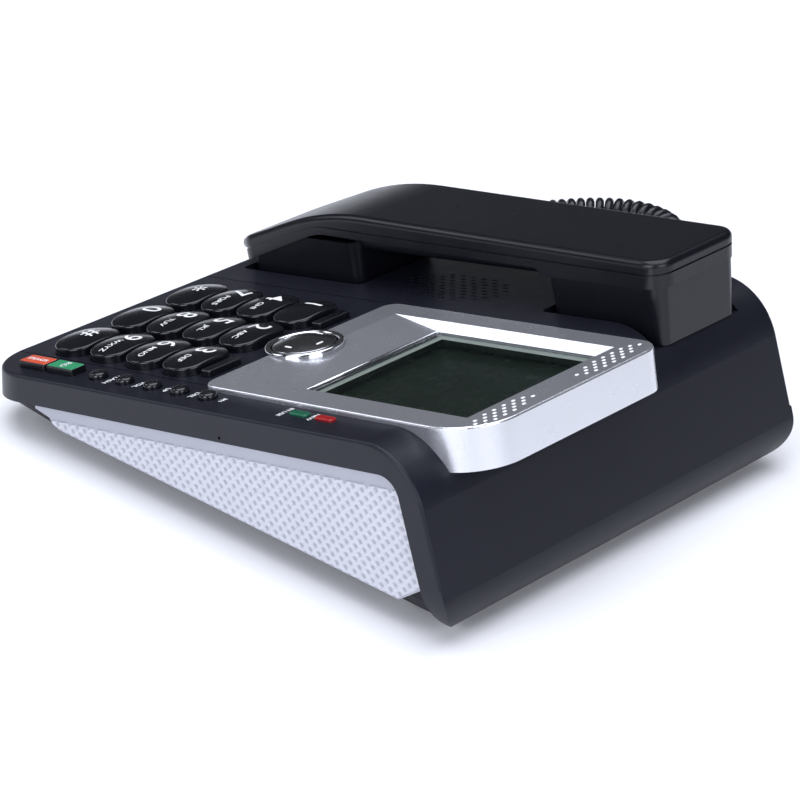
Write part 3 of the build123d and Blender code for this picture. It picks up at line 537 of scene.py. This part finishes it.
def dimpled_sheet(node, sign, sockets=()):
    """Thin pressed sheet on a side panel, with staggered round hollows."""
    low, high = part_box(node)
    face_x = max(abs(low[0]), abs(high[0])) / MM + SHEET_LIFT
    verts, faces = [], []
    columns = int((high[1] - low[1]) / MM / DIMPLE_STEP[0]) + 3
    rows = int((high[2] - low[2]) / MM / DIMPLE_STEP[1] * 2) + 4
    for row in range(rows):
        z = low[2] / MM + (row - 1) * DIMPLE_STEP[1] / 2
        for column in range(columns):
            y = low[1] / MM + (column - 1 + (row % 2) / 2) * DIMPLE_STEP[0]
            dimple_cell(y, z, sign, face_x, verts, faces)
    mesh = bpy.data.meshes.new(node + "_dimples")
    mesh.from_pydata([tuple(v) for v in verts], [], faces)
    work = bmesh.new()
    work.from_mesh(mesh)
    bmesh.ops.remove_doubles(work, verts=work.verts, dist=WELD * MM)
    limits = panel_limits(node)
    cuts = [(point - out * SHEET_MARGIN, out) for point, out in limits]
    top = Vector((-math.sin(SLOPE), math.cos(SLOPE)))
    highest = max(limits, key=lambda limit: limit[1].dot(top))[0]
    cuts.append((highest - top * PANEL_EDGE, top))
    for point, out in cuts:
        geometry = work.verts[:] + work.edges[:] + work.faces[:]
        bmesh.ops.bisect_plane(work, geom=geometry, clear_outer=True,
                               plane_co=(0, point.x * MM, point.y * MM), plane_no=(0, out.x, out.y))
    for middle_y, half in sockets:
        cut_window(work, middle_y * MM, half * MM)
    rim = [edge for edge in work.edges if edge.is_boundary]
    skirt = bmesh.ops.extrude_edge_only(work, edges=rim)
    for vert in skirt["geom"]:
        if isinstance(vert, bmesh.types.BMVert):
            vert.co.x -= sign * (SHEET_LIFT + SHEET_TUCK) * MM
    bmesh.ops.recalc_face_normals(work, faces=work.faces)
    work.to_mesh(mesh)
    work.free()
    mesh.polygons.foreach_set("use_smooth", [True] * len(mesh.polygons))
    mesh.materials.append(SHEET)
    piece = bpy.data.objects.new(node + "_dimples", mesh)
    bpy.context.collection.objects.link(piece)
    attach(piece, "base")


dimpled_sheet("side_panel_right", 1)
dimpled_sheet("side_panel_left", -1, sockets=SOCKET_WINDOWS)

# ------------------------------------------------------------------ printing
KEY_HEIGHT = 4.6                 # top of a key, over the deck
KEY_CROWN = 46.0                 # radius of its dome
KEY_ROWS = (22.6, 41.7, 60.8, 79.9)
PRINT_LIFT = 0.05                # printing over its surface
FONT_STEPS = 6
LETTERS = {"2": "ABC", "3": "DEF", "4": "GHI", "5": "JKL", "6": "MNO", "7": "PQRS", "8": "TUV",
           "9": "WXYZ"}
# Marks on a key as x and u from its middle, size, width and weight. Signs have their text first.
SIGNS = {"star": ("*", -2.0, -2.6, 12.5, 1.1, 0.06), "hash": ("#", -2.0, 0, 10.5, 1.1, 0.06)}
DIGIT = (-4.4, 0, 11.6, 1.12, 0.06)
SMALL_LETTERS = (4.8, -0.6, 3.5, 1.0, 0.03)


def flat_word(text, size, width, weight):
    """Word as flat polygons in millimetres, centred on its own middle."""
    curve = bpy.data.curves.new("word", "FONT")
    curve.body = text
    curve.size = size
    curve.align_x = "CENTER"
    curve.align_y = "CENTER"
    curve.resolution_u = FONT_STEPS
    curve.offset = weight
    holder = bpy.data.objects.new("word", curve)
    bpy.context.collection.objects.link(holder)
    bpy.context.view_layer.update()
    mesh = bpy.data.meshes.new_from_object(holder)
    work = bmesh.new()
    work.from_mesh(mesh)
    bmesh.ops.triangulate(work, faces=work.faces)
    long_edges = [e for e in work.edges if e.calc_length() > size / 6]
    bmesh.ops.subdivide_edges(work, edges=long_edges, cuts=1)
    verts = [(v.co.x * width, v.co.y) for v in work.verts]
    faces = [[v.index for v in f.verts] for f in work.faces]
    work.free()
    bpy.data.objects.remove(holder)
    return verts, faces


def printed(name, words, height, mat, body):
    """Printing on the deck or a key: words are (text, x, u, size, width, weight, turn)."""
    verts, faces = [], []
    for text, x, u, size, width, weight, turn in words:
        flat, polygons = flat_word(text, size, width, weight)
        start = len(verts)
        c, s = math.cos(math.radians(turn)), math.sin(math.radians(turn))
        for px, pu in flat:
            place_x = x + px * c - pu * s
            place_u = u + px * s + pu * c
            verts.append(deck(place_x, place_u, height(place_x, place_u) + PRINT_LIFT))
        faces += [[start + i for i in polygon] for polygon in polygons]
    return mesh_piece(name, verts, faces, mat, body, smooth=False)


def key_legend(node):
    """Digit or sign on a key's crown, with its small letters."""
    low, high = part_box(node)
    x = (low[0] + high[0]) / 2 / MM
    middle_y = (low[1] + high[1]) / 2 / MM
    u = min(KEY_ROWS, key=lambda row: abs(deck(0, row, 0.5).y / MM - middle_y))

    def dome(px, pu):
        across = (px - x) ** 2 + (pu - u) ** 2
        return KEY_HEIGHT - KEY_CROWN + math.sqrt(KEY_CROWN ** 2 - across)

    label = node.removeprefix("key_")
    marks = [SIGNS[label] if label in SIGNS else (label, *DIGIT)]
    if label in LETTERS:
        marks.append((LETTERS[label], *SMALL_LETTERS))
    words = [(text, x + right, u + up, size, width, weight, 0)
             for text, right, up, size, width, weight in marks]
    printed(node + "_legend", words, dome, PRINT, node)


for node in nodes:
    if node.startswith("key_"):
        key_legend(node)

LINE_X = 83.4
BUTTON_FIRST = 54.6
BUTTON_PITCH = 13.95
LABEL_SHIFT = 6.9                # from a round button's middle to its label
LABELS = ("FLASH", "VOL", "UP", "DEL", "M1")
LAMP_X = 83.2
LAMP_LABELS = (("IN USE", 147.2), ("NEW", 160.2))
CAP_TOP = 2.5
# Size, width and weight of small words.
BUTTON_PRINT = (2.7, 1.1, 0.04)
LAMP_PRINT = (2.5, 1.05, 0.04)
# Words on the two coloured caps as (node, piece, text, u, size, turn).
CAP_WORDS = (("speaker_button", "speaker_word", "SPEAKER", 22.6, 2.7, 90),
             ("redial_button", "redial_word", "RD", 37.4, 3.6, 0))


def level(height):
    """Flat surface at a height over the deck."""
    return lambda x, u: height


printed("button_labels",
        [(word, LINE_X, BUTTON_FIRST + BUTTON_PITCH * index + LABEL_SHIFT, *BUTTON_PRINT, 0)
         for index, word in enumerate(LABELS)],
        level(0.0), PRINT, "base")
printed("lamp_labels", [(word, LAMP_X, u, *LAMP_PRINT, 0) for word, u in LAMP_LABELS],
        level(0.0), PRINT, "base")
for node, piece, text, u, size, turn in CAP_WORDS:
    printed(piece, [(text, LINE_X, u, size, 1.0, 0.03, turn)], level(CAP_TOP), PRINT, node)

# ------------------------------------------------------------------ dots on the display frame
DOT_COLUMNS = (1, 3, 4, 4, 4, 4, 3, 1)
DOT_GROUPS = (58.4, 3.2)         # middle of each group
DOT_U = 220.3
DOT_PITCH = 4.7
DOT_STEP = (2.2, 2.1)            # between dots of a column, along x and u
DOT_SIZE = (1.5, 1.15)
DOT_SINK = 0.1
DOT_RISE = 0.12
PAD_SIDES = 12
PAD_SQUARENESS = 3.2
RIM = 0.06
FRAME_TOP = 1.9


def pad_shape(x, u, size, low, top, verts, faces, turn=0.0):
    """Small rounded pad with a softened upper rim, standing on the deck frame."""
    start = len(verts)
    c, s = math.cos(turn), math.sin(turn)
    sides = PAD_SIDES
    for height, grow in ((low, 1.0), (top - RIM, 1.0), (top, 0.88)):
        for side in range(sides):
            angle = 2 * math.pi * (side + 0.5) / sides
            a, b = math.cos(angle), math.sin(angle)
            power = PAD_SQUARENESS
            scale = (abs(a) ** power + abs(b) ** power) ** (-1 / power) * grow
            px, pu = a * scale * size[0] / 2, b * scale * size[1] / 2
            verts.append(deck(x + px * c - pu * s, u + px * s + pu * c, height))
    for ring in range(2):
        for side in range(sides):
            after = (side + 1) % sides
            under = start + ring * sides
            over = under + sides
            faces.append((under + side, under + after, over + after, over + side))
    faces.append(tuple(start + 2 * sides + side for side in range(sides)))


def frame_dots():
    """Two groups of dots along the frame's rear edge, in slanting columns."""
    verts, faces = [], []
    middle_column = (len(DOT_COLUMNS) - 1) / 2
    for middle in DOT_GROUPS:
        for column, count in enumerate(DOT_COLUMNS):
            for row in range(count):
                shift = row - (count - 1) / 2
                x = middle - (column - middle_column) * DOT_PITCH + shift * DOT_STEP[0]
                u = DOT_U + shift * DOT_STEP[1]
                pad_shape(x, u, DOT_SIZE, FRAME_TOP - DOT_SINK, FRAME_TOP + DOT_RISE, verts, faces)
    mesh_piece("frame_dots", verts, faces, PRINT, "base")


frame_dots()

# ------------------------------------------------------------------ edges of the display
WINDOW_X = (-4.5, 66.8)
WINDOW_U = (136.6, 213.7)
WINDOW_TOP = -1.3                # under the deck
BEAD_RADIUS = 0.4
BEAD_INSET = 0.6


def border(name, front, others, height, mat):
    """Flat frame inside the window's edge, wider along the front."""
    verts = []
    for front_inset, inset in ((0, 0), (front, others)):
        left, right = WINDOW_X[0] + inset, WINDOW_X[1] - inset
        near, far = WINDOW_U[0] + front_inset, WINDOW_U[1] - inset
        corners = ((left, near), (right, near), (right, far), (left, far))
        verts += [deck(x, u, height) for x, u in corners]
    faces = [(i, (i + 1) % 4, 4 + (i + 1) % 4, 4 + i) for i in range(4)]
    mesh_piece(name, verts, faces, mat, "base", smooth=False)


# Black frame just inside the window's edge: painted shadow of the gap round the glass.
border("window_edge_painted_shadow", front=1.5, others=0.45, height=WINDOW_TOP + 0.04, mat=BUTTON)
border("lcd_margin", front=4.2, others=3.4, height=WINDOW_TOP - 0.9, mat=MARGIN)
bead = [deck(x, WINDOW_U[0] - 0.3, WINDOW_TOP + 0.5)
        for x in (WINDOW_X[0] + BEAD_INSET, WINDOW_X[1] - BEAD_INSET)]
tube("window_bead", bead, BEAD_RADIUS * MM, CHROME, "base", sides=12)

# ------------------------------------------------------------------ marks on the navigation pad
PAD_CENTRE = (32.3, 106.6)
PAD_TOP = 4.8
PAD_CROWN = 34.0                 # radius of the pad's surface
MARK_REACH = 7.8                 # from the pad's centre
MARK_SIZE = (3.4, 0.8)
MARK_SINK = 0.3
MARK_RISE = 0.1


def pad_marks():
    """Four short marks round the navigation pad."""
    verts, faces = [], []
    surface = PAD_TOP - PAD_CROWN + math.sqrt(PAD_CROWN ** 2 - MARK_REACH ** 2)
    for quarter in range(4):
        angle = quarter * math.pi / 2
        x = PAD_CENTRE[0] + MARK_REACH * math.cos(angle)
        u = PAD_CENTRE[1] + MARK_REACH * math.sin(angle)
        pad_shape(x, u, MARK_SIZE, surface - MARK_SINK, surface + MARK_RISE, verts, faces,
                  turn=angle + math.pi / 2)
    mesh_piece("pad_marks", verts, faces, PRINT, "navigation_pad")


pad_marks()

# ------------------------------------------------------------------ floor and light
FLOOR_REACH = 3.0                # metres, each way
FLOOR_CLOUDS = (3, 2)
LIGHT_COLOR = (0.88, 0.91, 1.0)
# Soft lights as (name, place, target, size, watts), in metres.
LIGHTS = (
    ("top_light", (-0.1, -0.1, 2.0), (0, 0, 0.03), (2.4, 2.4), 62),
    ("right_light", (1.7, 0.1, 0.75), (0, 0, 0.03), (1.2, 0.9), 20),
    ("front_light", (0.65, -1.6, 1.05), (0, 0.05, 0.07), (0.9, 0.7), 6),
    ("rear_light", (0.5, 1.7, 0.8), (0, 0, 0.05), (1.2, 0.9), 16),
)
WORLD_COLOR = (0.92, 0.94, 1.0)
WORLD_STRENGTH = 0.06


def floor():
    """Pale floor, which isn't part of the object."""
    mesh = bpy.data.meshes.new("floor")
    reach = FLOOR_REACH
    corners = [(-reach, -reach, 0), (reach, -reach, 0), (reach, reach, 0), (-reach, reach, 0)]
    mesh.from_pydata(corners, [], [(0, 1, 2, 3)])
    mat = material("floor_pale", (0.9, 0.9, 0.91), 0.6)
    vary_color(mat, noise(mat, *FLOOR_CLOUDS), (0.88, 0.88, 0.89), (0.91, 0.91, 0.92))
    mesh.materials.append(mat)
    plane = bpy.data.objects.new("floor", mesh)
    bpy.context.collection.objects.link(plane)


def soft_light(name, place, target, size, power):
    """Rectangular area light turned to a target."""
    data = bpy.data.lights.new(name, "AREA")
    data.shape = "RECTANGLE"
    data.size, data.size_y = size
    data.energy = power
    data.color = LIGHT_COLOR
    lamp = bpy.data.objects.new(name, data)
    bpy.context.collection.objects.link(lamp)
    way = Vector(target) - Vector(place)
    turn = way.to_track_quat("-Z", "Y").to_matrix().to_4x4()
    lamp.matrix_world = Matrix.Translation(place) @ turn


floor()
world = bpy.data.worlds.new("studio")
world.use_nodes = True
background = world.node_tree.nodes["Background"]
background.inputs["Color"].default_value = (*WORLD_COLOR, 1)
background.inputs["Strength"].default_value = WORLD_STRENGTH
bpy.context.scene.world = world
bpy.context.scene.view_settings.view_transform = "Standard"
for light in LIGHTS:
    soft_light(*light)
